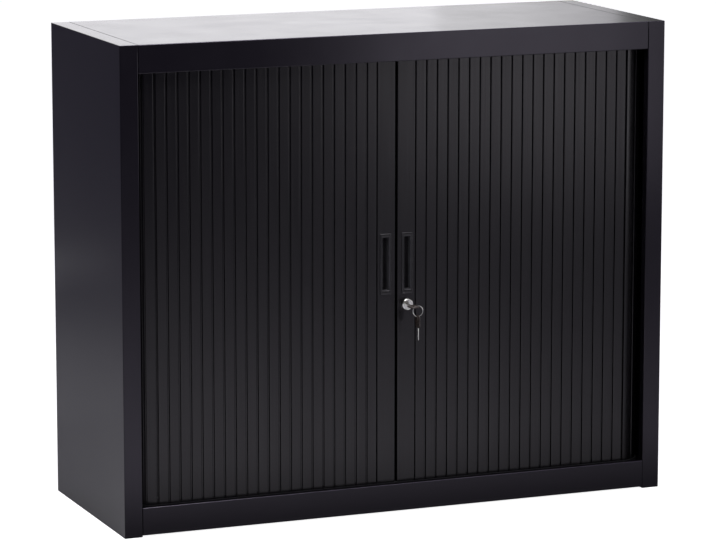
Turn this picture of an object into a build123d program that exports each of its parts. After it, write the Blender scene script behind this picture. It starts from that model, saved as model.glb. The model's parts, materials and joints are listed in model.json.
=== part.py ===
"""A roll front cabinet: a steel carcass closed by two slatted shutters that open sideways.

Millimetres. X runs to the right, Y to the back and Z up from the floor. The origin is the
middle of the floor under the whole object, with the key in its lock.
"""

from build123d import *

import os
from math import cos, degrees, floor, radians, sin

# Carcass
width = 1200.0
depth = 450.0
height = 1000.0
sheet = 1.0  # thickness of the folded steel
fold_radius = 1.6  # outside of a fold
edge_radius = 0.9  # of a rounded sheet edge, less than the sheet is thick
seam = 0.2  # between two sheets that are welded or seated together
end_seam = 0.9  # from the ends of the top panel and the base panel to the posts
post_width = 38.0
post_gap = 1.0  # from a post's return to the faces of the slats
fascia_height = 58.0
plinth_top = 60.0
plinth_lift = 3.0  # the plinth ends this far above the floor
plinth_return = 15.0
side_flange = 20.0
top_lip = 15.0
back_lip = 30.0

# Slatted curtains
shutter_recess = 19.5  # from the front of the posts to the faces of the slats
slat_spacing = 24.0  # wanted spacing, which the fitted one comes close to
slat_groove = 4.0  # the dark line between two raised faces
slat_thickness = 8.0
slat_chamfer = 0.8
lip_thickness = 2.0
lip_gap = 0.8
bend_slats = 3  # slats that share the quarter turn
tail_slats = 2  # slats past the turn when a shutter is closed
meeting_gap = 5.5
lead_width = 39.0
lead_thickness = 18.0
lead_wall = 2.0
lead_corner = 1.2
side_run_inset = 32.1  # from the cabinet's side to the middle of the slats
rear_run_inset = 16.0  # from the cabinet's back to the middle of the slats
open_rest = 2.0  # an open lead slat stops this far from the turn

# Tracks
track_wall = 2.0
track_base = 4.0
groove_depth = 8.0
running_gap = 0.5
end_gap = 0.3  # under the slats
track_hide = 8.0  # the top track's mouth is this far above the fascia's lower edge
rear_track = 150.0  # length of the track's tail along the back
lead_end_gap = 1.0
glider_inset = 2.0
glider_plug = 20.0
glider_fit = 0.3
stop_fit = 0.3
buffer_width = 9.0
buffer_depth = 8.0
buffer_height = 12.0
buffer_overlap = 9.0  # the top buffers reach this far past the tops of the lead slats

# Linings and shelves
lining_flange = 24.0
carrier_rim = 20.0
slot_width = 4.0
slot_height = 14.0
slot_pitch = 25.0
slot_margin = 50.0
slot_inset = 30.0  # from a lining's front and back edges to its slots
shelf_rows = {"lower_shelf": 9, "upper_shelf": 21}  # the slot that holds each shelf
shelf_thickness = 25.0
shelf_play = 0.8
shelf_front_gap = 8.0
clip_thickness = 1.5
clip_width = 16.0
clip_drop = 22.0
clip_ledge = 14.0
clip_tab = 2.0
tab_side_fit = 0.4
tab_end_fit = 1.5

# Feet
foot_radius = 15.0
foot_thickness = 8.0
foot_chamfer = 1.5
foot_travel = 12.0
stud_radius = 4.0
stud_fit = 0.05
stud_hole_fit = 0.5
stud_end = 4.0  # a lowered foot's stud ends this far under the base plate
stud_slot = 1.2
stud_slot_depth = 1.5
nut_flats = 13.0
nut_thickness = 8.0
cap_radius = 7.0
cap_flange = 2.0
cap_thickness = 1.5
cap_plug = 2.0
cap_fit = 0.1

# Screws through the top lips
screw_radius = 2.5
screw_head_radius = 4.5
screw_head = 2.5
screw_length = 9.0
screw_fit = 0.2
screw_spread = 300.0

# Handles
handle_height = 521.5  # middle of the handles above the floor
handle_offset = 24.0  # from the cabinet's middle
handle_length = 127.0
handle_width = 23.5
handle_rim = 3.0  # proud of the slat
handle_corner = 2.0
grip_length = 111.0
grip_width = 14.5
grip_depth = 12.0
grip_wall = 1.5
grip_fit = 0.3

# Lock
lock_drop = 10.3  # from the handle's lower end to the lock's head
lock_head = 10.0
lock_lip = 2.5
lock_chamfer = 1.5
barrel_wall = 3.5
barrel_fit = 0.2
barrel_past_nut = 3.0
lock_nut_flats = 25.0
lock_nut_thickness = 5.0
lock_nut_fit = 0.05
plug_radius = 6.0
plug_fit = 0.05
plug_lip = 2.0
plug_face = 2.0
keyway_fit = 0.2
cam_thickness = 2.5
cam_hub = 8.0
cam_arm = 9.0
cam_hook = 4.5
hook_sweep = 23.0  # degrees of the circle that the hook's middle line covers
cam_clearance = 1.5
cam_gap = 0.3  # behind the barrel
cam_square = 7.0
cam_fit = 0.1
cam_screw_radius = 2.0
cam_screw_fit = 0.05
cam_screw_head_radius = 5.2
cam_screw_head = 2.5
cam_screw_length = 8.0
lock_turn = 90.0  # degrees from unlocked to locked

# Strike on the left lead slat
strike_inset = 10.5  # from the slat's meeting edge to the post
strike_post_radius = 2.5
strike_thickness = 2.0
strike_width = 20.0
strike_height = 50.0
strike_past_cam = 1.5
strike_screw_radius = 1.9
strike_screw_fit = 0.05
strike_screw_head_radius = 3.8
strike_screw_head = 1.5
strike_screw_length = 6.0
strike_screw_spread = 34.0

# Keys
blade_thickness = 1.8
blade_height = 7.0
blade_length = 26.0
blade_in_lock = 12.0
blade_tang = 9.0
notch_depth = 1.6
notch_count = 4
tip_chamfer = 1.6
bow_length = 27.2
bow_height = 21.0
bow_thickness = 3.0
bow_corner = 7.0
bow_hole_radius = 3.4
bow_hole_wall = 1.8
tang_fit = 0.05
ring_radius = 11.0
ring_wire = 0.8
ring_side = 6.8  # the ring's middle to the right of the hole it hangs in
ring_drop = 7.95  # the ring's middle under the middle of the level key
ring_seat = 2.4  # the wire's middle above the middle of the spare key's hole


# Worked out from the sizes above
half_width = width / 2
through = 4 * sheet  # length of a cut that passes right through a sheet
blade_out = blade_length - blade_in_lock
bow_hole_inset = bow_hole_radius + bow_hole_wall
spare_reach = max(bow_hole_inset, bow_height / 2)  # in front of the hole in the key's bow
key_reach = lock_head + blade_out + bow_length - bow_hole_inset + spare_reach - shutter_recess
back = (depth + key_reach) / 2
front = back - depth
post_inner = half_width - post_width
face_y = front + shutter_recess

half_turn = 90 / bend_slats / 2
turn_share = 1 / (2 * sin(radians(half_turn)))
lead_edge = meeting_gap / 2 + lead_width
curtain_run = half_width - side_run_inset - lead_edge
flat_slats = round(curtain_run / slat_spacing - turn_share)
pitch = curtain_run / (flat_slats + turn_share)
bend_radius = turn_share * pitch
bend_x = lead_edge + flat_slats * pitch
side_run_x = half_width - side_run_inset
front_run_y = face_y + slat_thickness / 2
bend_y = front_run_y + bend_radius
rear_run_y = back - rear_run_inset
rear_bend_y = rear_run_y - bend_radius
lead_back_y = face_y + lead_thickness

groove_half = slat_thickness / 2 + running_gap
track_half = groove_half + track_wall
chord_sag = bend_radius * (1 - cos(radians(half_turn)))
track_height = track_base + groove_depth
track_seat = plinth_top - track_height
fascia_bottom = height - fascia_height
track_mouth = fascia_bottom + track_hide
carrier_z = track_mouth + track_height
slat_bottom = track_seat + track_base + end_gap
slat_top = carrier_z - track_base - end_gap
lead_bottom = plinth_top + lead_end_gap
lead_top = track_mouth - lead_end_gap

sill_end = front_run_y - track_half - fold_radius
wing_front = face_y - post_gap + seam
wall_inner = half_width - sheet - seam
rear_face = back - sheet - seam  # outer face of the back panel
rear_seat = rear_face - sheet - seam
loop_inner = track_half + chord_sag
lining_x = side_run_x - loop_inner - seam
lining_front = bend_y + seam
lining_back = rear_bend_y - seam
lining_bottom = plinth_top + seam
lining_top = carrier_z - seam
rear_lining_y = rear_run_y - loop_inner - seam
room_half = lining_x - sheet
slot_rows = floor((lining_top - lining_bottom - 2 * slot_margin) / slot_pitch) + 1
slot_columns = (lining_front + slot_inset, lining_back - slot_inset)

foot_x = bend_x - foot_radius
foot_places = {
    "front_left": (-foot_x, bend_y),
    "front_right": (foot_x, bend_y),
    "rear_left": (-foot_x, rear_bend_y - foot_radius),
    "rear_right": (foot_x, rear_bend_y - foot_radius),
}
base_bottom = track_seat - sheet

lock_x = lead_edge - lead_width / 2
barrel_radius = plug_radius + barrel_wall
head_radius = barrel_radius + lock_lip
lock_z = handle_height - handle_length / 2 - lock_drop - head_radius
lock_front = face_y - lock_head
nut_back_y = lead_back_y + lock_nut_thickness
barrel_back_y = nut_back_y + barrel_past_nut
cam_front_y = barrel_back_y + cam_gap
cam_back_y = cam_front_y + cam_thickness
strike_x = meeting_gap / 2 + strike_inset
cam_reach = lock_x + strike_x + strike_post_radius + cam_clearance
keyway_depth = blade_length - seam

key_hole_y = lock_front - blade_out - bow_length + bow_hole_inset
ring_x = lock_x + ring_side
ring_z = lock_z - ring_drop
spare_hole_z = ring_z - ring_radius - ring_seat


def save(piece, name):
    """Labels a finished piece and writes it."""
    piece.part.label = name
    export_step(piece.part, f"parts/{name}.step")


def save_pair(piece, name):
    """Writes a right-hand piece and its mirror image on the left."""
    with BuildPart() as twin:
        mirror(piece.part, about=Plane.YZ)
    save(piece, f"right_{name}")
    save(twin, f"left_{name}")


def folded(plane, corners, inside):
    """Section of a sheet folded through corners that lie on its outer face."""
    with BuildSketch(plane) as section:
        with BuildLine():
            FilletPolyline(*corners, radius=fold_radius)
            offset(amount=sheet, side=inside)
        make_face()
    return section.sketch


def side_panel():
    """Post, side wall and flanges, folded from one sheet."""
    plan = [
        (post_inner, face_y - post_gap),
        (post_inner, front),
        (half_width, front),
        (half_width, back),
        (half_width - side_flange, back),
    ]
    with BuildPart() as panel:
        extrude(folded(Plane.XY, plan, Side.LEFT), amount=height)
        for plane, flange, rise in (
            (Plane.XY.offset(height), post_width, -sheet),
            (Plane.XY, side_flange, sheet),
        ):
            with BuildSketch(plane) as plate:
                with Locations((half_width, front)):
                    Rectangle(flange, depth, align=(Align.MAX, Align.MIN))
                fillet(plate.vertices().group_by(Axis.X)[-1], radius=fold_radius)
            extrude(amount=rise)
        with BuildSketch(Plane.XY.offset(height)):
            with Locations((post_inner, front)):
                Rectangle(sheet, rear_seat - front, align=(Align.MIN, Align.MIN))
        extrude(amount=-top_lip)
        fillet(panel.faces().sort_by(Axis.Z)[-1].edges(), radius=edge_radius)
        extrude(lip_holes(post_inner), amount=through, mode=Mode.SUBTRACT)
    return panel


def top_screw_places():
    """Where the screws join the top panel's lips to the side panels' lips."""
    middle = (front + back) / 2
    level = height - top_lip / 2
    return [(middle + step * screw_spread / 2, level) for step in (-1, 0, 1)]


def lip_holes(lip_x):
    """Outlines of the screw holes, just to the left of one lip."""
    with BuildSketch(Plane.YZ.offset(lip_x - through / 2)) as holes:
        with Locations(*top_screw_places()):
            Circle(screw_radius + screw_fit)
    return holes.sketch


def end_edges(panel):
    """The two edges at the ends of a panel's flat top."""
    top = panel.faces().filter_by(Axis.Z).sort_by(Axis.Z)[-1]
    return top.edges().filter_by(Axis.Y)


def top_panel():
    """Top, fascia and lips, folded from one sheet."""
    half = post_inner - end_seam
    section = [
        (sill_end, fascia_bottom),
        (front, fascia_bottom),
        (front, height),
        (back, height),
        (back, height - back_lip),
    ]
    with BuildPart() as panel:
        extrude(folded(Plane.YZ, section, Side.RIGHT), amount=half, both=True)
        lip_start = sill_end + sheet
        with BuildSketch(Plane.XY.offset(height - sheet)):
            with Locations((half, lip_start), (-half + sheet, lip_start)):
                Rectangle(sheet, rear_seat - lip_start, align=(Align.MAX, Align.MIN))
        extrude(amount=sheet - top_lip)
        fillet(end_edges(panel), radius=edge_radius)
        for lip_x in (-half, half):
            extrude(lip_holes(lip_x), amount=through, mode=Mode.SUBTRACT)
    return panel


def base_panel():
    """Plinth with end returns, sill and base plate, with wings under the side tracks."""
    section = [
        (front + plinth_return, plinth_lift),
        (front, plinth_lift),
        (front, plinth_top),
        (sill_end, plinth_top),
        (sill_end, track_seat),
        (rear_seat, track_seat),
        (rear_seat, track_seat - back_lip),
    ]
    half = post_inner - end_seam
    with BuildPart() as panel:
        extrude(folded(Plane.YZ, section, Side.RIGHT), amount=half, both=True)
        wing = wall_inner - half
        for side in (-1, 1):
            with BuildSketch(Plane.XY.offset(track_seat)):
                with Locations((side * (wall_inner - wing / 2), wing_front)):
                    Rectangle(wing, rear_seat - wing_front, align=(Align.CENTER, Align.MIN))
            extrude(amount=-sheet)
            with BuildSketch(Plane.XY.offset(base_bottom)):
                with Locations((side * (wall_inner - sheet / 2), wing_front)):
                    Rectangle(sheet, rear_seat - wing_front, align=(Align.CENTER, Align.MIN))
            extrude(amount=sheet - back_lip)
            with BuildSketch(Plane.XY.offset(plinth_lift)):
                with Locations((side * (half - sheet / 2), front + sheet)):
                    Rectangle(sheet, plinth_return - sheet, align=(Align.CENTER, Align.MIN))
            extrude(amount=plinth_top - plinth_lift - sheet / 2)
        with Locations(*[Pos(x, y, track_seat) for x, y in foot_places.values()]):
            Cylinder(stud_radius + stud_hole_fit, through, mode=Mode.SUBTRACT)
    return panel


def back_panel():
    """Flat sheet that closes the back between the side panels' flanges."""
    with BuildPart() as panel:
        with BuildSketch(Plane.XZ.offset(-rear_face)):
            with Locations((0, side_flange)):
                Rectangle(
                    2 * wall_inner,
                    height - sheet - seam - side_flange,
                    align=(Align.CENTER, Align.MIN),
                )
        extrude(amount=sheet)
    return panel


def track_carrier():
    """Tray turned up at its edges, which carries the top tracks."""
    with BuildPart() as carrier:
        with BuildSketch(Plane.XY.offset(carrier_z)):
            with Locations((0, wing_front)):
                Rectangle(
                    2 * wall_inner,
                    rear_seat - wing_front,
                    align=(Align.CENTER, Align.MIN),
                )
        extrude(amount=carrier_rim)
        offset(amount=-sheet, openings=carrier.faces().sort_by(Axis.Z)[-1])
    return carrier


def loop(inset):
    """Outline of the curtains' path round the cabinet, moved outwards, or inwards if negative."""
    middle = (front_run_y + rear_run_y) / 2
    with BuildSketch() as outline:
        with Locations((0, middle)):
            RectangleRounded(
                2 * (side_run_x + inset),
                rear_run_y - front_run_y + 2 * inset,
                bend_radius + inset,
            )
    return outline.sketch


def floor_panel():
    """Cabinet floor: a shallow tray turned down inside the bottom tracks."""
    with BuildPart() as tray:
        with BuildSketch(Plane.XY.offset(plinth_top)):
            add(loop(-loop_inner - seam))
        extrude(amount=seam - track_height)
        offset(amount=-sheet, openings=tray.faces().sort_by(Axis.Z)[0])
        with Locations(*[Pos(x, y, plinth_top) for x, y in foot_places.values()]):
            Cylinder(cap_radius + cap_fit, through, mode=Mode.SUBTRACT)
    return tray


def floor_caps():
    """Plastic caps over the holes that reach the feet's studs."""
    with BuildPart() as caps:
        with BuildSketch(Plane.XY.offset(plinth_top)):
            with Locations(*foot_places.values()):
                Circle(cap_radius + cap_flange)
        extrude(amount=cap_thickness)
        with BuildSketch(Plane.XY.offset(plinth_top)):
            with Locations(*foot_places.values()):
                Circle(cap_radius)
        extrude(amount=-cap_plug)
    return caps


def front_track(bottom, groove_floor):
    """Straight channel across the front."""
    with BuildPart() as track:
        with BuildSketch(Plane.YZ):
            with Locations((front_run_y, bottom)):
                Rectangle(2 * track_half, track_height, align=(Align.CENTER, Align.MIN))
            with Locations((front_run_y, groove_floor)):
                Rectangle(
                    2 * groove_half,
                    groove_depth,
                    align=(Align.CENTER, Align.MIN),
                    mode=Mode.SUBTRACT,
                )
        extrude(amount=bend_x - seam, both=True)
    return track


def side_track(bottom, groove_floor):
    """Channel round the front corner, along the side and round to the back."""
    with BuildPart() as track:
        with BuildSketch(Plane.XY.offset(bottom)):
            add(loop(track_half))
            add(loop(-loop_inner), mode=Mode.SUBTRACT)
            add(side_share(), mode=Mode.INTERSECT)
        extrude(amount=track_height)
        with BuildSketch(Plane.XY.offset(groove_floor)):
            add(loop(groove_half))
            add(loop(track_wall - loop_inner), mode=Mode.SUBTRACT)
        extrude(amount=groove_depth, mode=Mode.SUBTRACT)
    return track


def side_share():
    """The part of the plan that holds the right-hand side track."""
    with BuildSketch() as share:
        with Locations((bend_x, front)):
            Rectangle(half_width - bend_x, depth, align=(Align.MIN, Align.MIN))
        with Locations((half_width, back)):
            tail = half_width - bend_x + rear_track
            Rectangle(tail, back - rear_bend_y, align=(Align.MAX, Align.MAX))
    return share.sketch


def slat_outline():
    """One slat across its width, with its face towards -Y and its middle at the origin."""
    with BuildSketch() as outline:
        Rectangle(pitch - slat_groove, slat_thickness)
        chamfer(outline.vertices().group_by(Axis.Y)[0], length=slat_chamfer)
        Rectangle(pitch - lip_gap, lip_thickness)
    return outline.sketch


def slats(places):
    """Slats of full height at these places on the plan."""
    with BuildPart() as curtain:
        with BuildSketch(Plane.XY.offset(slat_bottom)):
            with Locations(*places):
                add(slat_outline())
        extrude(amount=slat_top - slat_bottom)
    return curtain


def flat_places():
    """Slats across the front."""
    return [Location((lead_edge + (n + 0.5) * pitch, front_run_y)) for n in range(flat_slats)]


def bend_places():
    """Slats round the front corner."""
    reach = bend_radius * cos(radians(half_turn))
    places = []
    for n in range(bend_slats):
        turn = (2 * n + 1) * half_turn
        middle = (bend_x + reach * sin(radians(turn)), bend_y - reach * cos(radians(turn)))
        places.append(Location(middle, turn))
    return places


def tail_places():
    """Slats along the side."""
    return [Location((side_run_x, bend_y + (n + 0.5) * pitch), 90) for n in range(tail_slats)]


def lead_blank():
    """Tube that leads the right-hand curtain, with the handle's pocket in its front."""
    with BuildPart() as lead:
        with BuildSketch(Plane.XY.offset(lead_bottom)) as section:
            with Locations((lock_x, face_y + lead_thickness / 2)):
                Rectangle(lead_width, lead_thickness)
            fillet(section.vertices().group_by(Axis.Y)[0], radius=lead_corner)
            with Locations((lock_x, face_y + lead_thickness / 2)):
                Rectangle(
                    lead_width - 2 * lead_wall,
                    lead_thickness - 2 * lead_wall,
                    mode=Mode.SUBTRACT,
                )
        extrude(amount=lead_top - lead_bottom)
        with BuildSketch(Plane.XZ.offset(-face_y - lead_wall - seam)):
            with Locations((handle_offset, handle_height)):
                Rectangle(
                    grip_width + 2 * grip_wall + 2 * grip_fit,
                    grip_length + 2 * grip_wall + 2 * grip_fit,
                )
        extrude(amount=lead_wall + 2 * seam, mode=Mode.SUBTRACT)
    return lead


def right_lead_slat():
    """Lead slat with the hole for the lock."""
    with BuildPart() as lead:
        add(lead_blank().part)
        with BuildSketch(Plane.XZ.offset(-lead_back_y - seam)):
            with Locations((lock_x, lock_z)):
                Circle(barrel_radius + barrel_fit)
        extrude(amount=lead_thickness + 2 * seam, mode=Mode.SUBTRACT)
    return lead


def left_lead_slat():
    """Lead slat with the holes for the strike's screws."""
    with BuildPart() as lead:
        mirror(lead_blank().part, about=Plane.YZ)
        with BuildSketch(Plane.XZ.offset(-lead_back_y - seam)):
            with Locations(*strike_screw_places()):
                Circle(strike_screw_radius + strike_screw_fit)
        extrude(amount=lead_wall + 2 * seam, mode=Mode.SUBTRACT)
    return lead


def glider(mouth, groove_end):
    """Plastic end of a lead slat: a plug in the tube and a tongue in the track's groove."""
    inward = 1 if mouth > groove_end else -1
    with BuildPart() as piece:
        with BuildSketch(Plane.XY.offset(mouth)):
            with Locations((lock_x, front_run_y)):
                Rectangle(lead_width - 2 * glider_inset, slat_thickness)
        extrude(amount=groove_end - mouth)
        with BuildSketch(Plane.XY.offset(mouth)):
            with Locations((lock_x, face_y + lead_thickness / 2)):
                Rectangle(
                    lead_width - 2 * lead_wall - 2 * glider_fit,
                    lead_thickness - 2 * lead_wall - 2 * glider_fit,
                )
        extrude(amount=inward * glider_plug)
    return piece


def gliders():
    """Both ends of the right-hand lead slat."""
    with BuildPart() as pair:
        add(glider(lead_bottom, slat_bottom).part)
        add(glider(lead_top, slat_top).part)
    return pair


def centre_stops():
    """Blocks in the grooves that stop both lead slats at the middle."""
    half = meeting_gap / 2 + glider_inset - stop_fit
    with BuildPart() as stops:
        with BuildSketch(Plane.XY.offset(plinth_top)):
            with Locations((0, front_run_y)):
                Rectangle(2 * half, slat_thickness)
        extrude(amount=-groove_depth)
        with BuildSketch(Plane.XY.offset(track_mouth)):
            with Locations((0, front_run_y)):
                Rectangle(2 * half, slat_thickness)
        extrude(amount=groove_depth)
    return stops


def travel_buffers():
    """Rubber blocks that stop the open lead slats short of the turn."""
    corner = (bend_x - open_rest + stop_fit, front_run_y + loop_inner + chord_sag)
    with BuildPart() as blocks:
        with BuildSketch(Plane.XY.offset(plinth_top)):
            with Locations(corner):
                Rectangle(buffer_width, buffer_depth, align=(Align.MIN, Align.MIN))
        extrude(amount=buffer_height)
        with BuildSketch(Plane.XY.offset(carrier_z)):
            with Locations(corner):
                Rectangle(buffer_width, buffer_depth, align=(Align.MIN, Align.MIN))
        extrude(amount=lead_top - buffer_overlap - carrier_z)
        mirror(about=Plane.YZ)
    return blocks


def side_lining():
    """Slotted wall between the storage and the curtain's side run."""
    plan = [
        (lining_x - lining_flange, lining_front),
        (lining_x, lining_front),
        (lining_x, lining_back),
        (bend_x, lining_back),
    ]
    first_slot = lining_bottom + slot_margin
    places = [(y, first_slot + n * slot_pitch) for y in slot_columns for n in range(slot_rows)]
    with BuildPart() as lining:
        section = folded(Plane.XY.offset(lining_bottom), plan, Side.LEFT)
        extrude(section, amount=lining_top - lining_bottom)
        with BuildSketch(Plane.YZ.offset(lining_x - through / 2)):
            with Locations(*places):
                SlotOverall(slot_height, slot_width, rotation=90)
        extrude(amount=through, mode=Mode.SUBTRACT)
    return lining


def rear_lining():
    """Wall between the storage and the curtains' tails along the back."""
    half = bend_x - seam
    plan = [
        (-half, lining_back - sheet),
        (-half, rear_lining_y),
        (half, rear_lining_y),
        (half, lining_back - sheet),
    ]
    with BuildPart() as lining:
        section = folded(Plane.XY.offset(lining_bottom), plan, Side.RIGHT)
        extrude(section, amount=lining_top - lining_bottom)
    return lining


def clip_slot_z(row):
    """Height of a slot's middle."""
    return lining_bottom + slot_margin + row * slot_pitch


def shelf(row):
    """Tray turned down at its edges, notched round the rear corners of the linings."""
    bottom = clip_slot_z(row) + slot_height / 2
    notch = room_half - bend_x + shelf_play + sheet + seam
    shelf_front = lining_front + sheet + shelf_front_gap
    shelf_back = rear_lining_y - sheet - shelf_play
    half = room_half - shelf_play
    with BuildPart() as tray:
        with BuildSketch(Plane.XY.offset(bottom)):
            with Locations((0, shelf_front)):
                Rectangle(2 * half, shelf_back - shelf_front, align=(Align.CENTER, Align.MIN))
            notch_depth_y = shelf_back - lining_back + sheet + shelf_play
            with Locations((half, shelf_back), (-half + notch, shelf_back)):
                Rectangle(
                    notch,
                    notch_depth_y,
                    align=(Align.MAX, Align.MAX),
                    mode=Mode.SUBTRACT,
                )
        extrude(amount=shelf_thickness)
        offset(amount=-sheet, openings=tray.faces().sort_by(Axis.Z)[0])
    return tray


def shelf_clips():
    """Bent clips hooked into the linings' slots, under the shelves' edges."""
    with BuildPart() as clips:
        for row in shelf_rows.values():
            level = clip_slot_z(row) + slot_height / 2
            for y in slot_columns:
                with BuildSketch(Plane.XZ.offset(-y - clip_width / 2)):
                    with Locations((room_half, level)):
                        Rectangle(clip_thickness, clip_drop, align=(Align.MAX, Align.MAX))
                        Rectangle(clip_ledge, clip_thickness, align=(Align.MAX, Align.MAX))
                extrude(amount=clip_width)
                with BuildSketch(Plane.YZ.offset(room_half - clip_thickness)):
                    with Locations((y, clip_slot_z(row))):
                        Rectangle(slot_width - 2 * tab_side_fit, slot_height - 2 * tab_end_fit)
                extrude(amount=clip_thickness + sheet + clip_tab)
        mirror(about=Plane.YZ)
    return clips


def levelling_foot(x, y):
    """Pad and stud, with a screwdriver slot that is reached through the cabinet floor."""
    stud_top = track_seat + foot_travel - stud_end
    with BuildPart() as foot:
        with BuildSketch():
            with Locations((x, y)):
                Circle(foot_radius)
        extrude(amount=foot_thickness)
        chamfer(foot.edges().group_by(Axis.Z)[-1], length=foot_chamfer)
        with BuildSketch(Plane.XY.offset(foot_thickness)):
            with Locations((x, y)):
                Circle(stud_radius)
        extrude(amount=stud_top - foot_thickness)
        with Locations((x, y, stud_top)):
            Box(2 * stud_radius, stud_slot, 2 * stud_slot_depth, mode=Mode.SUBTRACT)
    return foot


def foot_nuts():
    """Hexagon nuts welded under the base plate."""
    with BuildPart() as nuts:
        with BuildSketch(Plane.XY.offset(base_bottom)):
            with Locations(*foot_places.values()):
                RegularPolygon(nut_flats / 2, 6, major_radius=False)
                Circle(stud_radius + stud_fit, mode=Mode.SUBTRACT)
        extrude(amount=-nut_thickness)
    return nuts


def top_screws():
    """Screws that hold the top panel to the side panels."""
    with BuildPart() as screws:
        with BuildSketch(Plane.YZ.offset(post_inner + sheet)):
            with Locations(*top_screw_places()):
                Circle(screw_head_radius)
        extrude(amount=screw_head)
        with BuildSketch(Plane.YZ.offset(post_inner + sheet)):
            with Locations(*top_screw_places()):
                Circle(screw_radius)
        extrude(amount=-screw_length)
        mirror(about=Plane.YZ)
    return screws


def handle():
    """Rim on the face of the lead slat and the cup that a fingertip pulls."""
    with BuildPart() as grip:
        with BuildSketch(Plane.XZ.offset(-face_y)):
            with Locations((handle_offset, handle_height)):
                RectangleRounded(handle_width, handle_length, handle_corner)
        extrude(amount=handle_rim)
        with BuildSketch(Plane.XZ.offset(-face_y)):
            with Locations((handle_offset, handle_height)):
                Rectangle(grip_width + 2 * grip_wall, grip_length + 2 * grip_wall)
        extrude(amount=-grip_depth - grip_wall + handle_rim)
        with BuildSketch(Plane.XZ.offset(handle_rim - face_y)):
            with Locations((handle_offset, handle_height)):
                Rectangle(grip_width, grip_length)
        extrude(amount=-grip_depth, mode=Mode.SUBTRACT)
    return grip


def lock_plane(y):
    """Plane across the lock's axis, which faces the viewer."""
    return Plane(origin=(lock_x, y, lock_z), x_dir=(1, 0, 0), z_dir=(0, -1, 0))


def lock_body():
    """Chromed head and threaded barrel, bored for the plug."""
    with BuildPart() as body:
        with BuildSketch(lock_plane(face_y)):
            Circle(head_radius)
        extrude(amount=lock_head)
        chamfer(body.edges().group_by(Axis.Y)[0], length=lock_chamfer)
        with BuildSketch(lock_plane(face_y)):
            Circle(barrel_radius)
        extrude(amount=face_y - barrel_back_y)
        with BuildSketch(lock_plane(lock_front)):
            Circle(plug_radius + plug_lip)
        extrude(amount=-plug_face, mode=Mode.SUBTRACT)
        with BuildSketch(lock_plane(lock_front)):
            Circle(plug_radius)
        extrude(amount=lock_front - barrel_back_y, mode=Mode.SUBTRACT)
    return body


def lock_nut():
    """Hexagon nut that clamps the lock behind the slat."""
    with BuildPart() as nut:
        with BuildSketch(lock_plane(nut_back_y)):
            RegularPolygon(lock_nut_flats / 2, 6, major_radius=False)
            Circle(barrel_radius + lock_nut_fit, mode=Mode.SUBTRACT)
        extrude(amount=lock_nut_thickness)
    return nut


def lock_plug():
    """Plug with the keyway in front and a square for the cam behind."""
    with BuildPart() as plug:
        with BuildSketch(lock_plane(lock_front)):
            Circle(plug_radius + plug_lip - plug_fit)
        extrude(amount=plug_fit - plug_face)
        with BuildSketch(lock_plane(lock_front)):
            Circle(plug_radius - plug_fit)
        extrude(amount=lock_front - barrel_back_y)
        with BuildSketch(lock_plane(barrel_back_y)):
            Rectangle(cam_square, cam_square)
        extrude(amount=barrel_back_y - cam_back_y)
        with BuildSketch(lock_plane(lock_front)):
            Rectangle(blade_height + 2 * keyway_fit, blade_thickness + 2 * keyway_fit)
        extrude(amount=-keyway_depth, mode=Mode.SUBTRACT)
        with BuildSketch(lock_plane(cam_back_y)):
            Circle(cam_screw_radius)
        extrude(amount=cam_screw_length, mode=Mode.SUBTRACT)
    return plug


def lock_cam():
    """Hook that hangs unlocked and turns left round the strike's post."""
    strike_distance = lock_x + strike_x
    arm_lag = degrees((cam_arm / 2 + strike_post_radius + cam_clearance) / strike_distance)
    arm_angle = arm_lag - lock_turn
    hook_middle = cam_reach + cam_hook / 2
    hook_line = CenterArc((0, 0), hook_middle, arm_angle, -hook_sweep, mode=Mode.PRIVATE)
    with BuildPart() as cam:
        with BuildSketch(lock_plane(cam_back_y)):
            Circle(cam_hub)
            with Locations(Location((0, 0), arm_angle)):
                Rectangle(hook_middle, cam_arm, align=(Align.MIN, Align.CENTER))
            SlotArc(hook_line, cam_hook)
            Rectangle(cam_square + 2 * cam_fit, cam_square + 2 * cam_fit, mode=Mode.SUBTRACT)
        extrude(amount=cam_thickness)
    return cam


def cam_screw():
    """Screw that holds the cam on the plug's square."""
    with BuildPart() as screw:
        with BuildSketch(lock_plane(cam_back_y)):
            Circle(cam_screw_head_radius)
        extrude(amount=-cam_screw_head)
        with BuildSketch(lock_plane(cam_back_y)):
            Circle(cam_screw_radius - cam_screw_fit)
        extrude(amount=cam_screw_length - seam)
    return screw


def strike_screw_places():
    """The strike's two screws, above and below its post."""
    reach = strike_screw_spread / 2
    return [(-strike_x, lock_z + step * reach) for step in (-1, 1)]


def strike():
    """Plate behind the left lead slat, with the post that the cam hooks."""
    plate_back = lead_back_y + strike_thickness
    with BuildPart() as piece:
        with BuildSketch(Plane.XZ.offset(-plate_back)):
            with Locations((-strike_x, lock_z)):
                Rectangle(strike_width, strike_height)
            with Locations(*strike_screw_places()):
                Circle(strike_screw_radius + strike_screw_fit, mode=Mode.SUBTRACT)
        extrude(amount=strike_thickness)
        with BuildSketch(Plane.XZ.offset(-plate_back)):
            with Locations((-strike_x, lock_z)):
                Circle(strike_post_radius)
        extrude(amount=plate_back - cam_back_y - strike_past_cam)
    return piece


def strike_screws():
    """Screws that hold the strike to the slat."""
    plate_back = lead_back_y + strike_thickness
    with BuildPart() as screws:
        with BuildSketch(Plane.XZ.offset(-plate_back)):
            with Locations(*strike_screw_places()):
                Circle(strike_screw_head_radius)
        extrude(amount=-strike_screw_head)
        with BuildSketch(Plane.XZ.offset(-plate_back)):
            with Locations(*strike_screw_places()):
                Circle(strike_screw_radius)
        extrude(amount=strike_screw_length)
    return screws


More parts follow.
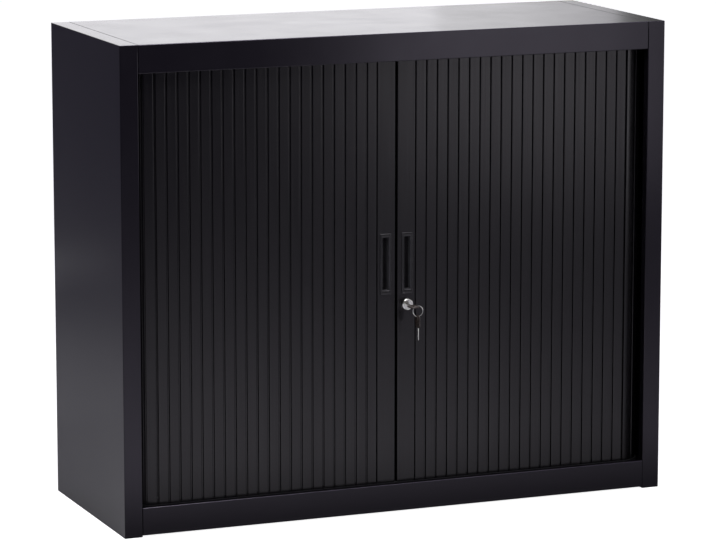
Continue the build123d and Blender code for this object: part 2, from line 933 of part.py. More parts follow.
def key_plane(hole, towards_tip, across):
    """Plane of a flat key, across the axis of its hole, with X towards the tip."""
    return Plane(origin=hole, x_dir=towards_tip, z_dir=across)


def key_blade(plane):
    """Metal blade with its bit cut into one edge and its tang in the bow."""
    bow_end = bow_length - bow_hole_inset
    tip = bow_end + blade_length
    notch_step = blade_in_lock / (notch_count + 1)
    with BuildPart() as blade:
        with BuildSketch(plane) as outline:
            with Locations((bow_end - blade_tang, 0)):
                Rectangle(
                    blade_tang + blade_length,
                    blade_height,
                    align=(Align.MIN, Align.CENTER),
                )
            chamfer(outline.vertices().group_by(plane_axis(plane))[-1], length=tip_chamfer)
            for n in range(notch_count):
                with Locations((tip - (n + 1) * notch_step, blade_height / 2)):
                    Rectangle(notch_depth, 2 * notch_depth, rotation=45, mode=Mode.SUBTRACT)
        extrude(amount=blade_thickness / 2, both=True)
    return blade


def plane_axis(plane):
    """The line along a plane's X direction."""
    return Axis(plane.origin, plane.x_dir)


def key_bow(plane):
    """Plastic bow with the ring's hole."""
    bow_end = bow_length - bow_hole_inset
    with BuildPart() as bow:
        with BuildSketch(plane):
            with Locations((bow_length / 2 - bow_hole_inset, 0)):
                RectangleRounded(bow_length, bow_height, bow_corner)
            Circle(bow_hole_radius, mode=Mode.SUBTRACT)
        extrude(amount=bow_thickness / 2, both=True)
        with BuildSketch(plane):
            with Locations((bow_end, 0)):
                Rectangle(
                    blade_tang + tang_fit,
                    blade_height + 2 * tang_fit,
                    align=(Align.MAX, Align.CENTER),
                )
        extrude(amount=blade_thickness / 2 + tang_fit, both=True, mode=Mode.SUBTRACT)
    return bow


def key_ring():
    """Wire ring through the hole of the level key and round the right side of its bow."""
    with BuildPart() as ring:
        with Locations(Location((ring_x, key_hole_y, ring_z), (90, 0, 0))):
            Torus(ring_radius, ring_wire)
    return ring


os.makedirs("parts", exist_ok=True)

save_pair(side_panel(), "side_panel")
save(top_panel(), "top_panel")
save(base_panel(), "base_panel")
save(back_panel(), "back_panel")
save(track_carrier(), "track_carrier")
save(floor_panel(), "floor_panel")
save(floor_caps(), "floor_caps")
save_pair(side_lining(), "side_lining")
save(rear_lining(), "rear_lining")
save(front_track(track_seat, track_seat + track_base), "bottom_front_track")
save(front_track(track_mouth, track_mouth), "top_front_track")
save_pair(side_track(track_seat, track_seat + track_base), "bottom_side_track")
save_pair(side_track(track_mouth, track_mouth), "top_side_track")
save(centre_stops(), "centre_stops")
save(travel_buffers(), "travel_buffers")
save(top_screws(), "top_screws")
for name, row in shelf_rows.items():
    save(shelf(row), name)
save(shelf_clips(), "shelf_clips")
save(foot_nuts(), "foot_nuts")
for name, place in foot_places.items():
    save(levelling_foot(*place), f"{name}_foot")

save_pair(slats(flat_places()), "curtain_slats")
save_pair(slats(bend_places()), "corner_slats")
save_pair(slats(tail_places()), "tail_slats")
save(right_lead_slat(), "right_lead_slat")
save(left_lead_slat(), "left_lead_slat")
save_pair(gliders(), "gliders")
save_pair(handle(), "handle")

save(lock_body(), "lock_body")
save(lock_nut(), "lock_nut")
save(lock_plug(), "lock_plug")
save(lock_cam(), "lock_cam")
save(cam_screw(), "cam_screw")
save(strike(), "strike")
save(strike_screws(), "strike_screws")

lock_key = key_plane((lock_x, key_hole_y, lock_z), (0, 1, 0), (0, 0, 1))
spare_key = key_plane((ring_x, key_hole_y, spare_hole_z), (0, 0, -1), (1, 0, 0))
save(key_blade(lock_key), "key_blade")
save(key_bow(lock_key), "key_bow")
save(key_ring(), "key_ring")
save(key_blade(spare_key), "spare_key_blade")
save(key_bow(spare_key), "spare_key_bow")
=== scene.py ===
"""Looks of the roll front cabinet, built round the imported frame. Metres, in the CAD's frame."""

import json
import random
from math import cos, pi, radians, sin

import bpy
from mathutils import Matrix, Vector

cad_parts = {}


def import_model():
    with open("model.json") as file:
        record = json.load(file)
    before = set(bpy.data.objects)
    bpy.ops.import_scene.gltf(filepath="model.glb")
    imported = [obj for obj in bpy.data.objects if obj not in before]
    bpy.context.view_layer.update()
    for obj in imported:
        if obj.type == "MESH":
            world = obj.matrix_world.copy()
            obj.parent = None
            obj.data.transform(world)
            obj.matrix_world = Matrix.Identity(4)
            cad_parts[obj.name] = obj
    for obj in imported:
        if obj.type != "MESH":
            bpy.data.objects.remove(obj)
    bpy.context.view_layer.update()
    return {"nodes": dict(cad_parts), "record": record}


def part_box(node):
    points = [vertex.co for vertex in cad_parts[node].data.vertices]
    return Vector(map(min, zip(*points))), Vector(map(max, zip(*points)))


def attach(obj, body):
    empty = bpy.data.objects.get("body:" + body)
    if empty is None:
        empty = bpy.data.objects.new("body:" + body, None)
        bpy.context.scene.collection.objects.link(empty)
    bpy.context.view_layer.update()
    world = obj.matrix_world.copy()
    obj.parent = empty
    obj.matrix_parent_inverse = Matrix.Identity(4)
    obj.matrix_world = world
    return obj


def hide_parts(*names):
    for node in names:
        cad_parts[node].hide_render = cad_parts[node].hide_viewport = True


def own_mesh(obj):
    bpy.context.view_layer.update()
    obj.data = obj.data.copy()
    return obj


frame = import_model()
scene = bpy.context.scene
dice = random.Random(7)

MM = 0.001
FLAT_EDGE = 0.25 * MM  # a flat's own edge points stand this far inside a rounding

SLAT_COUNT = 20  # across the front, on each side
SLAT_HALF = 4.0 * MM  # half of a slat's thickness
SLAT_GROOVE = 4.0 * MM
SLAT_CORNER = 1.25 * MM
SLAT_LIP = 2.0 * MM
SLAT_LIP_GAP = 0.8 * MM
SLAT_LIP_SPLIT = 0.1 * MM  # from the slat's middle plane to a lip that passes another one
SLAT_HOOK = 0.8 * MM  # a hooked lip reaches this far past the middle between two slats
SLAT_RELIEF = 0.1 * MM  # room for a slat's tilt inside its CAD solid
SLAT_TILT = 0.3  # degrees, most that a slat is turned from its neighbours
SLAT_END = 0.15 * MM  # a slat's ends are drawn in over this length
SLAT_END_SHARE = 0.985  # and to this share of its outline
TURN_ANGLES = (15, 45, 75)  # degrees, of the slats in a turn
TAIL_COUNT = 2  # slats past a turn

GRIP_DEPTH = 12.0 * MM
GRIP_WIDTH = 14.5 * MM
GRIP_LENGTH = 111.0 * MM
GRIP_WALL = 1.5 * MM
CUP_SLOPE = 0.36  # the cup gets this much deeper across its width
CUP_CORNER = 1.2 * MM
CUP_FILLET = 1.5 * MM
CUP_TAPER = 0.3 * MM
RIM_PROUD = 3.0 * MM
RIM_CORNER = 2.0 * MM
RIM_INNER_CORNER = 1.0 * MM
RIM_PROFILE = (  # share of the rim's width from its outer edge, and millimetres below its crown
    (0, 3), (0, 1.2), (0.08, 0.5), (0.2, 0.15), (0.36, 0.03),
    (0.5, 0), (0.66, 0.1), (0.8, 0.4), (0.93, 0.95), (1, 1.6),
)

LOCK_LIP = 2.5 * MM
LOCK_BEZEL = 1.7 * MM
LOCK_POINTS = 72
PLUG_BORE = 6.0 * MM
PLUG_SEAT = 8.0 * MM
PLUG_SEAT_DEPTH = 2.0 * MM
PLUG_SEAT_EDGE = 0.5 * MM

RING_STEPS = 96  # to a turn
RING_WIRE_POINTS = 10
RING_STEEP = 8  # the wire steps to its other turn within an eighth of a turn, each way
WIRE_SHAPE = (1.3, 0.92)  # flattened wire, as shares of a round one

BOW_CORNER = 7.0 * MM
BOW_SOFT = 1.1 * MM
BOW_HOLE = 3.4 * MM
BOW_HOLE_WALL = 1.8 * MM
BOW_HOLE_LIP = 1.1  # the hole's outer edge, as a share of its radius
BOW_HOLE_LIP_DEPTH = 0.3 * MM

BLADE_BEVEL = 0.15 * MM
BLADE_GROOVE = 0.35 * MM
BLADE_GROOVE_FRONT = (-1.6 * MM, -1.2 * MM, 0.3 * MM, 0.7 * MM)
BLADE_GROOVE_BACK = (1.5 * MM, 1.1 * MM, -0.6 * MM, -1.0 * MM)
BIT_NOTCHES = 4
BIT_SPACING = 2.4 * MM
BIT_FLANK = 0.9 * MM
BIT_DEPTH = 1.3 * MM
TIP_LENGTH = 1.4 * MM
TIP_CUT = 1.6 * MM

KEY_SHARP = 50  # degrees, folds of a key that show as edges
LOCK_SHARP = 25


# Shader nodes

MIX_SOCKETS = {"FLOAT": ("_2", "_3", 0), "RGBA": ("_6", "_7", 2)}
WHITE = (1, 1, 1, 1)


def add(tree, kind, settings=None, **inputs):
    """A node with its settings made and its inputs linked or set."""
    made = tree.nodes.new(kind)
    for key, value in (settings or {}).items():
        setattr(made, key, value)
    for key, value in inputs.items():
        place = made.inputs[int(key[1:]) if key[0] == "_" else key.replace("_", " ")]
        if isinstance(value, bpy.types.NodeSocket):
            tree.links.new(value, place)
        else:
            place.default_value = value
    return made


def math(tree, operation, a, b=0.0):
    return add(tree, "ShaderNodeMath", {"operation": operation}, _0=a, _1=b).outputs[0]


def vector_math(tree, operation, a, **more):
    return add(tree, "ShaderNodeVectorMath", {"operation": operation}, _0=a, **more).outputs[0]


def axes(tree, vector):
    """A vector's parts along X, Y and Z."""
    return add(tree, "ShaderNodeSeparateXYZ", Vector=vector).outputs


def mixed(tree, kind, share, low, high):
    """low where the share is 0, and high where it is 1."""
    first, second, out = MIX_SOCKETS[kind]
    values = {first: low, second: high}
    return add(tree, "ShaderNodeMix", {"data_type": kind}, _0=share, **values).outputs[out]


def surface(name, **constants):
    """A material with an empty shader, its tree and its object coordinates."""
    made = bpy.data.materials.new(name)
    made.use_nodes = True
    tree = made.node_tree
    shader = tree.nodes["Principled BSDF"]
    for key, value in constants.items():
        shader.inputs[key.replace("_", " ")].default_value = value
    coords = add(tree, "ShaderNodeTexCoord").outputs["Object"]
    return made, tree, shader, coords


def noise(tree, coords, scale, detail=2.0, stretch=None):
    """Noise between 0 and 1 at a scale in features to the metre."""
    if stretch:
        coords = add(tree, "ShaderNodeMapping", Vector=coords, Scale=stretch).outputs[0]
    return add(tree, "ShaderNodeTexNoise", Vector=coords, Scale=scale, Detail=detail).outputs[0]


def spread(tree, value, low, high, start=0.3, end=0.7):
    """A value between start and end laid out from low to high."""
    keys = {"From_Min": start, "From_Max": end, "To_Min": low, "To_Max": high}
    return add(tree, "ShaderNodeMapRange", Value=value, **keys).outputs[0]


def tint(tree, value, dark, light):
    """A colour between two, by a texture's value."""
    ramp = add(tree, "ShaderNodeValToRGB", Fac=value)
    ends = ramp.color_ramp.elements
    for end, position, colour in zip(ends, (0.3, 0.7), (dark, light)):
        end.position = position
        end.color = (*colour, 1)
    return ramp.outputs[0]


def bump(tree, height, depth, below=None):
    """A bump of that depth in metres, over another one."""
    made = add(tree, "ShaderNodeBump", Height=height, Distance=depth, Strength=1.0)
    if below:
        tree.links.new(below, made.inputs["Normal"])
    return made.outputs[0]


def wire(tree, shader, **inputs):
    for key, value in inputs.items():
        tree.links.new(value, shader.inputs[key.replace("_", " ")])


def facing_way(tree):
    """How far a surface faces along each axis."""
    return axes(tree, add(tree, "ShaderNodeNewGeometry").outputs["Normal"])


# Materials

COAT_GLOSS = (0.89, 0.82, 1.0, 1)
COAT_FOLD_HIGHLIGHT = 12.0  # painted highlight: the coat's colour is this much lighter on a fold between a front and a top face
PLASTIC_GLOSS = (0.97, 0.93, 1.0, 1)


def powder_coat():
    """Satin black powder coat on a faintly wavy panel: fine orange peel, with a painted highlight
    on the folds.
    """
    made, tree, shader, at = surface("powder_coat", IOR=1.45, Specular_Tint=COAT_GLOSS)
    waves = bump(tree, noise(tree, at, scale=3.2, detail=1.0), depth=0.02 * MM)
    peel = bump(tree, noise(tree, at, scale=620, detail=1.0), depth=0.003 * MM, below=waves)
    shade = spread(tree, noise(tree, at, scale=9, detail=3.0), low=0.18, high=0.21)
    cloud = noise(tree, at, scale=60, detail=4.0)
    colour = tint(tree, cloud, dark=(0.0020, 0.0017, 0.0026), light=(0.0031, 0.0027, 0.0039))
    # painted highlight: the base colour is made lighter where a surface leans between facing front
    # and facing up, on the folds
    way = facing_way(tree)
    fold = math(tree, "MULTIPLY", way[1], way[2])
    painted_glint = spread(tree, fold, low=COAT_FOLD_HIGHLIGHT, high=1.0, start=-0.4, end=-0.1)
    colour = vector_math(tree, "SCALE", colour, Scale=painted_glint)
    wire(tree, shader, Base_Color=colour, Normal=peel, Roughness=shade)
    return made


def slat_plastic():
    """Satin black extrusion with fine draw lines along each slat."""
    made, tree, shader, at = surface("slat_plastic", IOR=1.44, Specular_Tint=PLASTIC_GLOSS)
    broad = noise(tree, at, scale=300, detail=2.0, stretch=(1, 1, 0.008))
    fine = noise(tree, at, scale=1100, detail=2.0, stretch=(1, 1, 0.012))
    lines = bump(tree, fine, 0.003 * MM, below=bump(tree, broad, 0.014 * MM))
    cloud = noise(tree, at, scale=140, detail=3.0, stretch=(1, 1, 0.05))
    colour = tint(tree, cloud, dark=(0.0019, 0.0018, 0.0021), light=(0.0032, 0.0030, 0.0035))
    shade = spread(tree, broad, low=0.20, high=0.27)
    wire(tree, shader, Base_Color=colour, Normal=lines, Roughness=shade)
    return made


def moulded_plastic(name, dark, light, rough, grain, edge_highlight=1.0):
    """Black moulded plastic with a fine spark-eroded grain, and a painted highlight that lightens
    its rounded edges.
    """
    made, tree, shader, at = surface(name, IOR=1.46, Specular_Tint=PLASTIC_GLOSS)
    grains = noise(tree, at, grain, detail=3.0)
    # painted highlight: the colour is lighter where a surface leans part way from facing front, on
    # rounded edges
    flat = math(tree, "ABSOLUTE", facing_way(tree)[1])
    edge = math(tree, "MULTIPLY", flat, math(tree, "SUBTRACT", 1.0, flat))
    highlight_scale = spread(tree, edge, low=1.0, high=edge_highlight, start=0.06, end=0.2)
    colour = tint(tree, noise(tree, at, scale=90, detail=2.0), dark, light)
    colour = vector_math(tree, "SCALE", colour, Scale=highlight_scale)
    shade = spread(tree, grains, low=rough - 0.05, high=rough + 0.06)
    texture = bump(tree, grains, depth=0.012 * MM)
    wire(tree, shader, Base_Color=colour, Normal=texture, Roughness=shade)
    return made


def metal(name, dark, light, rough, grain, depth, stretch=WHITE[:3]):
    """Plated metal with a fine grain or brushing."""
    made, tree, shader, at = surface(name, Metallic=1.0)
    marks = noise(tree, at, grain, detail=3.0, stretch=stretch)
    colour = tint(tree, noise(tree, at, scale=grain * 0.3, detail=2.0), dark, light)
    shade = spread(tree, marks, low=rough * 0.7, high=rough * 1.3)
    wire(tree, shader, Base_Color=colour, Normal=bump(tree, marks, depth), Roughness=shade)
    return made


finishes = {
    "black_steel": powder_coat(),
    "slat_plastic": slat_plastic(),
    # the handle's rounded edges get a painted highlight, their colour scaled up to twelve times
    "handle_plastic": moulded_plastic(
        "handle_plastic", dark=(0.002, 0.002, 0.0022), light=(0.0034, 0.0034, 0.0038),
        rough=0.26, grain=2600, edge_highlight=12.0),
    "track_plastic": moulded_plastic(
        "track_plastic", dark=(0.006, 0.006, 0.007), light=(0.010, 0.010, 0.011),
        rough=0.45, grain=1800),
    "buffer_rubber": moulded_plastic(
        "buffer_rubber", dark=(0.008, 0.008, 0.008), light=(0.014, 0.014, 0.014),
        rough=0.75, grain=900),
    "chrome": metal(
        "chrome", dark=(0.66, 0.65, 0.64), light=(0.82, 0.81, 0.80),
        rough=0.12, grain=700, depth=0.012 * MM),
    "zinc_steel": metal(
        "zinc_steel", dark=(0.42, 0.43, 0.45), light=(0.56, 0.57, 0.60),
        rough=0.34, grain=420, depth=0.004 * MM),
    "key_steel": metal(
        "key_steel", dark=(0.66, 0.65, 0.63), light=(0.80, 0.79, 0.77),
        rough=0.22, grain=1600, depth=0.004 * MM, stretch=(1, 0.2, 0.2)),
    "key_plastic": moulded_plastic(
        "key_plastic", dark=(0.022, 0.017, 0.015), light=(0.040, 0.030, 0.026),
        rough=0.26, grain=1400),
}
slot_of = {part["node"]: part["material_slot"] for part in frame["record"]["subparts"]}
for name, node in frame["nodes"].items():
    node.data.materials.clear()
    node.data.materials.append(finishes[slot_of[name]])


# Geometry helpers

def piece(name, points, faces, node, body, sharp=35):
    """A finished mesh that rides on its body and stands for a node."""
    mesh = bpy.data.meshes.new(name)
    mesh.from_pydata([tuple(p) for p in points], [], faces)
    mesh.validate()
    for face in mesh.polygons:
        face.use_smooth = True
    mesh.set_sharp_from_angle(angle=radians(sharp))
    mesh.materials.append(finishes[slot_of[node]])
    made = bpy.data.objects.new(name, mesh)
    scene.collection.objects.link(made)
    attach(made, body)
    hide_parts(node)
    return made


def loft(loops, closed=False):
    """Points and faces of a skin through loops that have as many points each."""
    count = len(loops[0])
    points = [p for loop in loops for p in loop]
    faces = []
    for row in range(len(loops) - (0 if closed else 1)):
        under, over = row * count, (row + 1) % len(loops) * count
        for n in range(count):
            m = (n + 1) % count
            faces.append((under + n, under + m, over + m, over + n))
    if not closed:
        faces.append(tuple(reversed(range(count))))
        faces.append(tuple(range(len(points) - count, len(points))))
    return points, faces


def joined(parts):
    """Several skins as one."""
    points, faces = [], []
    for some_points, some_faces in parts:
        start = len(points)
        points += some_points
        faces += [tuple(start + n for n in face) for face in some_faces]
    return points, faces


def corner(radius, start, end, steps=4):
    """Points of an arc round the origin, in degrees."""
    turns = [radians(start + (end - start) * n / steps) for n in range(steps + 1)]
    return [(radius * cos(turn), radius * sin(turn)) for turn in turns]


def circle(radius, count):
    return corner(radius, 0, 360, count)[:-1]


def rounded(width, height, radius, steps=6):
    """A rounded rectangle round the origin, anticlockwise."""
    points = []
    for quarter, (sx, sy) in enumerate(((1, 1), (-1, 1), (-1, -1), (1, -1))):
        for x, y in corner(radius, 90 * quarter, 90 * quarter + 90, steps):
            points.append((sx * (width / 2 - radius) + x, sy * (height / 2 - radius) + y))
    return points


# Slats

def slat_profile(pitch, lip_left, lip_right):
    """One slat across its width: a rounded face towards -Y and lips that pass each other."""
    half, deep = (pitch - SLAT_GROOVE) / 2, SLAT_HALF - SLAT_RELIEF
    lip, split, r = SLAT_LIP / 2, SLAT_LIP_SPLIT, SLAT_CORNER
    side, flat = half - r, half - r - FLAT_EDGE
    front_left = [(x - side, y + r - deep) for x, y in corner(r, 180, 270)] + [(-flat, -deep)]
    front_right = [(flat, -deep)] + [(side + x, y + r - deep) for x, y in corner(r, 270, 360)]
    back_right = [(side + x, deep - r + y) for x, y in corner(r, 0, 90, 2)] + [(flat, deep)]
    back_left = [(-flat, deep)] + [(x - side, deep - r + y) for x, y in corner(r, 90, 180, 2)]
    left_lip = [(-half, lip), (-lip_left, lip), (-lip_left, split), (-half, split)]
    right_lip = [(half, -lip), (lip_right, -lip), (lip_right, -split), (half, -split)]
    return left_lip + front_left + front_right + right_lip + back_right + back_left


def slat(pitch, place, turn, low, high, lips):
    """One slat from low to high, turned about its middle."""
    turn = radians(turn + dice.uniform(-SLAT_TILT, SLAT_TILT))
    outline, inner = [], []
    for x, y in slat_profile(pitch, *lips):
        a, b = x * cos(turn) - y * sin(turn), x * sin(turn) + y * cos(turn)
        outline.append((place[0] + a, place[1] + b))
        inner.append((place[0] + a * SLAT_END_SHARE, place[1] + b * SLAT_END_SHARE))
    flat = SLAT_END + FLAT_EDGE
    levels = [(low, inner), (low + SLAT_END, outline), (low + flat, outline)]
    levels += [(high - flat, outline), (high - SLAT_END, outline), (high, inner)]
    return loft([[(x, y, z) for x, y in ring] for z, ring in levels])


def slat_piece(side, kind, slats, body):
    """Slats of the right side as one piece, or mirrored to the left."""
    points, faces = joined(slats)
    if side == "left":
        points = [(-x, y, z) for x, y, z in points]
        faces = [tuple(reversed(face)) for face in faces]
    return piece(f"{side}_{kind}", points, faces, f"{side}_{kind}_slats", body)


def curtain(side):
    """One side's slats: across the front, in the turn and past it."""
    low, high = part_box("right_curtain_slats")
    tail_low, tail_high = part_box("right_tail_slats")
    pitch = (high.x - low.x + SLAT_LIP_GAP) / SLAT_COUNT
    plain, hooked = (pitch - SLAT_LIP_GAP) / 2, pitch / 2 + SLAT_HOOK
    start, run_y = low.x - SLAT_LIP_GAP / 2, (low.y + high.y) / 2
    bend_x, bend_y = start + SLAT_COUNT * pitch, tail_low.y - SLAT_LIP_GAP / 2
    tail_x = (tail_low.x + tail_high.x) / 2
    reach = (bend_y - run_y) * cos(radians(TURN_ANGLES[0]))

    def at(x, y, turn, lips=(plain, plain)):
        return slat(pitch, (x, y), turn, low.z, high.z, lips)

    front, turns = [], []
    for n in range(SLAT_COUNT):
        lips = (plain if n == 0 else hooked, plain if n == SLAT_COUNT - 1 else hooked)
        front.append(at(start + (n + 0.5) * pitch, run_y, 0, lips))
    for turn in TURN_ANGLES:
        x, y = reach * sin(radians(turn)), reach * cos(radians(turn))
        turns.append(at(bend_x + x, bend_y - y, turn))
    tails = [at(tail_x, bend_y + (n + 0.5) * pitch, 90) for n in range(TAIL_COUNT)]
    made = slat_piece(side, "curtain", front, f"{side}_shutter")
    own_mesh(made)
    slat_piece(side, "corner", turns, "cabinet")
    slat_piece(side, "tail", tails, "cabinet")


# Handles, lock and keys

def handle(side):
    """Moulded pull: a crowned rim and a cup that gets deeper towards the right."""
    low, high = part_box(f"{side}_handle")
    x, z = (low.x + high.x) / 2, (low.z + high.z) / 2
    width, length = high.x - low.x, high.z - low.z
    slope = (length - GRIP_LENGTH) / (width - GRIP_WIDTH)
    rim = (width - GRIP_WIDTH) / 2
    cup = (GRIP_WIDTH + 2 * GRIP_WALL, GRIP_LENGTH + 2 * GRIP_WALL)
    levels = [(cup, RIM_INNER_CORNER, y, 0) for y in (high.y, low.y + RIM_PROUD)]
    for share, down in RIM_PROFILE:
        inset = share * rim
        size = (width - 2 * inset, length - 2 * inset * slope)
        levels.append((size, max(RIM_CORNER - inset, RIM_INNER_CORNER), low.y + down * MM, 0))
    fillet_y = low.y + GRIP_DEPTH - CUP_FILLET
    for a, b in corner(CUP_FILLET, 0, 90):
        inset = CUP_FILLET + CUP_TAPER - a
        size = (GRIP_WIDTH - 2 * inset, GRIP_LENGTH - 2 * inset)
        levels.append((size, CUP_CORNER, fillet_y + b, CUP_SLOPE))
    loops = []
    for size, radius, y, lean in levels:
        outline = rounded(*size, radius)
        loops.append([(x + a, y - lean * (GRIP_WIDTH / 2 - a), z + b) for a, b in outline])
    piece(f"{side}_pull", *loft(loops), f"{side}_handle", f"{side}_shutter")


def lock():
    """Chromed lock body with a rolled bezel, bored for the plug."""
    low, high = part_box("lock_body")
    x, z = (low.x + high.x) / 2, (low.z + high.z) / 2
    head, front, back = (high.x - low.x) / 2, low.y, high.y
    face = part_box("right_lead_slat")[0].y
    barrel, bezel, edge = head - LOCK_LIP, LOCK_BEZEL, PLUG_SEAT_EDGE
    seat = front + PLUG_SEAT_DEPTH
    profile = [(PLUG_BORE, back), (barrel, back), (barrel, face), (head, face)]
    profile += [(head - bezel + a, front + bezel - b) for a, b in corner(bezel, 0, 90, 7)]
    profile += [(PLUG_SEAT + edge - b, front + edge - a) for a, b in corner(edge, 0, 90, 4)]
    profile += [(PLUG_SEAT, seat), (PLUG_BORE, seat)]
    loops = [[(x + a, y, z + b) for a, b in circle(r, LOCK_POINTS)] for r, y in profile]
    piece("lock_case", *loft(loops, closed=True), "lock_body", "right_shutter", LOCK_SHARP)


def split_ring():
    """Two turns of flattened wire that lie on each other."""
    low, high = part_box("key_ring")
    centre = (low + high) / 2
    wire_half = (high.y - low.y) / 4
    radius = (high.x - low.x) / 2 - 2 * wire_half
    wide, tall = WIRE_SHAPE
    loops = []
    for n in range(2 * RING_STEPS + 1):
        turn = 2 * pi * n / RING_STEPS
        y = centre.y + wire_half * max(-1, min(1, (n / RING_STEPS - 1) * RING_STEEP))
        loop = []
        for a, b in circle(wire_half, RING_WIRE_POINTS):
            r = radius + wide * a
            loop.append((centre.x + r * sin(turn), y + tall * b, centre.z + r * cos(turn)))
        loops.append(loop)
    piece("split_ring", *loft(loops), "key_ring", "ring")


def key(prefix, body, along, normal):
    """A key's two pieces. along goes from the bow to the tip, and normal across the flat."""
    along, normal = Vector(along), Vector(normal)
    across = normal.cross(along)
    for name, make in (("bow", bow), ("blade", blade)):
        node = f"{prefix}key_{name}"
        low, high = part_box(node)
        middle, size = (low + high) / 2, high - low
        loops, closed = make(*(abs(size.dot(way)) for way in (along, across, normal)))
        placed = []
        for loop in loops:
            placed.append([middle + along * a + across * b + normal * c for a, b, c in loop])
        piece(f"{prefix}{name}", *loft(placed, closed), node, body, KEY_SHARP)


def bow(length, width, thick):
    """Soft-edged plate with a hole near its end."""
    outline = rounded(length, width, BOW_CORNER)
    half, flat = thick / 2, BOW_SOFT + FLAT_EDGE
    centre = BOW_HOLE + BOW_HOLE_WALL - length / 2
    ring = facing([(centre + a, b) for a, b in circle(BOW_HOLE, len(outline))], outline)
    lip = [(centre + (a - centre) * BOW_HOLE_LIP, b * BOW_HOLE_LIP) for a, b in ring]
    levels = [(flat, half)]
    levels += [(BOW_SOFT * (1 - a), half * b) for a, b in corner(1, 90, -90, 8)]
    levels += [(flat, -half)]
    loops = [[(a, b, half) for a, b in lip]]
    for inset, up in levels:
        shrink_a, shrink_b = 1 - 2 * inset / length, 1 - 2 * inset / width
        loops.append([(a * shrink_a, b * shrink_b, up) for a, b in outline])
    loops.append([(a, b, -half) for a, b in lip])
    loops.append([(a, b, BOW_HOLE_LIP_DEPTH - half) for a, b in ring])
    loops.append([(a, b, half - BOW_HOLE_LIP_DEPTH) for a, b in ring])
    return loops, True


def facing(ring, outline):
    """The ring's points turned so that they face the outline's."""
    def gap(turn):
        pairs = zip(outline, ring[turn:] + ring[:turn])
        return sum((p - a) ** 2 + (q - b) ** 2 for (a, b), (p, q) in pairs)

    best = min(range(len(ring)), key=gap)
    return ring[best:] + ring[:best]


def blade(length, height, thick):
    """Blade with a bit cut into one edge."""
    end, high = length / 2, height / 2
    stations = [(-end, high, high)]
    for n in range(BIT_NOTCHES, 0, -1):
        notch = end - n * BIT_SPACING
        for shift, cut in ((-BIT_FLANK, 0), (0, BIT_DEPTH), (BIT_FLANK, 0)):
            stations.append((notch + shift, high - cut, high))
    stations += [(end - TIP_LENGTH, high, high), (end, high - TIP_CUT, high - TIP_CUT)]
    loops = []
    for along, cut, spine in stations:
        loops.append([(along, b, c) for b, c in blade_section(cut, spine, thick / 2)])
    return loops, False


def blade_section(cut, spine, half):
    """Across the blade, with a groove milled into each side."""
    bevel, floor_level = BLADE_BEVEL, half - BLADE_GROOVE
    a, b, c, d = BLADE_GROOVE_FRONT
    section = [(-spine, bevel - half), (bevel - spine, -half), (a, -half), (b, -floor_level)]
    section += [(c, -floor_level), (d, -half), (cut - bevel, -half), (cut, bevel - half)]
    a, b, c, d = BLADE_GROOVE_BACK
    section += [(cut, half - bevel), (cut - bevel, half), (a, half), (b, floor_level)]
    section += [(c, floor_level), (d, half), (bevel - spine, half), (-spine, half - bevel)]
    return section


curtain("right")
curtain("left")
handle("left")
handle("right")
lock()
split_ring()
key("", "key", (0, 1, 0), (0, 0, 1))
key("spare_", "spare_key", (0, 0, -1), (1, 0, 0))


# Camera: the photograph's angle, as fitted to the cabinet's edges

CAMERA_PLACE = (-2.8647, -6.8179, 1.8384)  # from the floor under the cabinet's front
CAMERA_DOWN = 10.177
CAMERA_RIGHT = 22.124

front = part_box("top_panel")[0].y
camera = bpy.data.objects.new("camera", bpy.data.cameras.new("camera"))
scene.collection.objects.link(camera)
camera.location = (CAMERA_PLACE[0], CAMERA_PLACE[1] + front, CAMERA_PLACE[2])
camera.rotation_euler = (radians(90 - CAMERA_DOWN), 0, radians(-CAMERA_RIGHT))
camera.data.sensor_width = 36
camera.data.lens = 183.95
scene.camera = camera


# Lights

BACKDROP = (1.0, 0.98, 1.04)
SIDE_TURN = 17.2  # degrees, along the floor that the left side mirrors


def lamp(name, place, aim, size, strength, colour=(1, 1, 1), cone=180, turn=0):
    """A soft box that the camera doesn't see. Its strength is the radiance of its face."""
    made = bpy.data.objects.new(name, bpy.data.lights.new(name, "AREA"))
    scene.collection.objects.link(made)
    made.data.shape = "RECTANGLE"
    made.data.size, made.data.size_y = size
    made.data.energy = strength * pi * size[0] * size[1]
    made.data.color = colour
    made.data.spread = radians(cone)
    made.location = place
    made.rotation_euler = (Vector(aim) - Vector(place)).to_track_quat("-Z", "Y").to_euler()
    made.rotation_euler.z += radians(turn)
    made.visible_camera = False


lamp("overhead", place=(-0.35, -1.0, 2.3), aim=(-0.35, -1.0, 0), size=(1.6, 1.2), strength=10.9)
lamp("overhead_right", place=(0.95, -0.65, 2.3), aim=(0.05, -0.23, 0), size=(1.4, 0.9),
     strength=0.17, cone=50)
lamp("front_right", place=(1.62, -3.2, 0.7), aim=(0.42, -0.6, 1.1), size=(0.85, 0.96),
     strength=0.082, cone=40)
lamp("right", place=(2.4, -1.6, 0.7), aim=(-0.3, -0.2, 1.0), size=(2.0, 0.84),
     strength=0.38, cone=80)
lamp("back_wall", place=(0.72, 3.2, 1.45), aim=(0.72, 0, 1.45), size=(1.66, 1.3),
     strength=0.86, colour=BACKDROP)
lamp("back_wall_end", place=(1.86, 3.2, 1.45), aim=(1.86, 0, 1.45), size=(0.63, 1.3),
     strength=0.54, colour=BACKDROP)
lamp("back_left", place=(-0.85, 1.0, 1.0), aim=(-0.85, 1.0, 0), size=(0.75, 2.2),
     strength=0.08, cone=30)
lamp("side_strip", place=(-2.2, 5.85, 0.6), aim=(-2.2, 5.85, 0), size=(0.35, 6.4),
     strength=0.105, cone=30, turn=SIDE_TURN)
lamp("side_glow", place=(-1.28, 2.9, 0.6), aim=(-1.28, 2.9, 0), size=(0.25, 0.5),
     strength=0.5, cone=30, turn=SIDE_TURN)


# World and floor

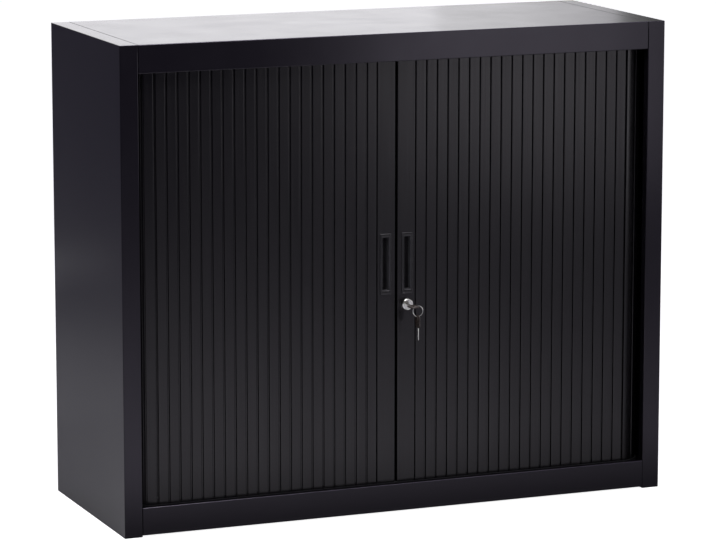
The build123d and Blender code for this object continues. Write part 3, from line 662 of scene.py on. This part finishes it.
ROOM_LEVEL = 0.112
ROOM_TONE = (0.70, 0.63, 0.98, 1)
FLOOR_HALF = 20.0
FLOOR_GLOW = 0.96  # what the camera sees of it beside the lamps' light
FOOT_EDGE = -0.22  # front of the cabinet, from its middle
BODY_MIDDLE = (0, 0.0185, 0)
UNDER_HALF = (0.59, 0.205)  # half of the floor that stays unlit under the cabinet


def world():
    """White behind the object, and a plain dim room for its light."""
    made = bpy.data.worlds.new("studio")
    made.use_nodes = True
    tree = made.node_tree
    tree.nodes.clear()
    path = add(tree, "ShaderNodeLightPath").outputs
    mirrored = math(tree, "MAXIMUM", path["Is Glossy Ray"], path["Is Transmission Ray"])
    way = axes(tree, add(tree, "ShaderNodeTexCoord").outputs["Generated"])
    behind = spread(tree, way[1], low=0.112, high=0.72, start=-0.5, end=0.6)
    above = spread(tree, way[2], low=1.0, high=0.3, start=0.3, end=0.7)
    right = spread(tree, way[0], low=1.0, high=0.06, start=0.41, end=0.45)
    gloss = math(tree, "MULTIPLY", math(tree, "MULTIPLY", behind, above), right)
    level = mixed(tree, "FLOAT", mirrored, ROOM_LEVEL, gloss)
    level = mixed(tree, "FLOAT", path["Is Camera Ray"], level, 1.0)
    plain = math(tree, "MAXIMUM", path["Is Camera Ray"], mirrored)
    tone = mixed(tree, "RGBA", plain, ROOM_TONE, WHITE)
    back = add(tree, "ShaderNodeBackground", Color=tone, Strength=level)
    add(tree, "ShaderNodeOutputWorld", Surface=back.outputs[0])
    scene.world = made


def floor():
    """Plain pale floor, white to the camera apart from a faint shadow, unlit under the cabinet,
    with a painted shadow darkening its colour just in front of the cabinet.
    """
    mesh = bpy.data.meshes.new("floor")
    ends = ((-1, -1), (1, -1), (1, 1), (-1, 1))
    mesh.from_pydata([(x * FLOOR_HALF, y * FLOOR_HALF, 0) for x, y in ends], [], [(0, 1, 2, 3)])
    made = bpy.data.objects.new("floor", mesh)
    scene.collection.objects.link(made)
    looks = {"Roughness": 0.9, "Specular_IOR_Level": 0.0, "Emission_Color": WHITE}
    pale, tree, shader, at = surface("floor", **looks)
    shift = vector_math(tree, "SUBTRACT", at, _1=BODY_MIDDLE)
    depth = axes(tree, shift)[1]
    # painted shadow: the floor's colour is darker in a band in front of the cabinet, down to 0.35
    # of itself near its front
    dim = spread(tree, depth, low=1.0, high=0.35, start=-0.72, end=-0.3)
    painted_foot_shadow = math(tree, "MAXIMUM", math(tree, "GREATER_THAN", depth, FOOT_EDGE), dim)
    colour = tint(tree, noise(tree, at, scale=3.0), (0.78, 0.78, 0.79), (0.82, 0.82, 0.83))
    colour = vector_math(tree, "SCALE", colour, Scale=painted_foot_shadow)
    away = axes(tree, vector_math(tree, "ABSOLUTE", shift))
    outside = [math(tree, "GREATER_THAN", away[n], UNDER_HALF[n]) for n in (0, 1)]
    seen = add(tree, "ShaderNodeLightPath").outputs["Is Camera Ray"]
    clear = math(tree, "MULTIPLY", math(tree, "MAXIMUM", *outside), seen)
    glow = math(tree, "MULTIPLY", clear, FLOOR_GLOW)
    wire(tree, shader, Base_Color=colour, Emission_Strength=glow)
    mesh.materials.append(pale)


world()
floor()
scene.view_settings.view_transform = "Standard"
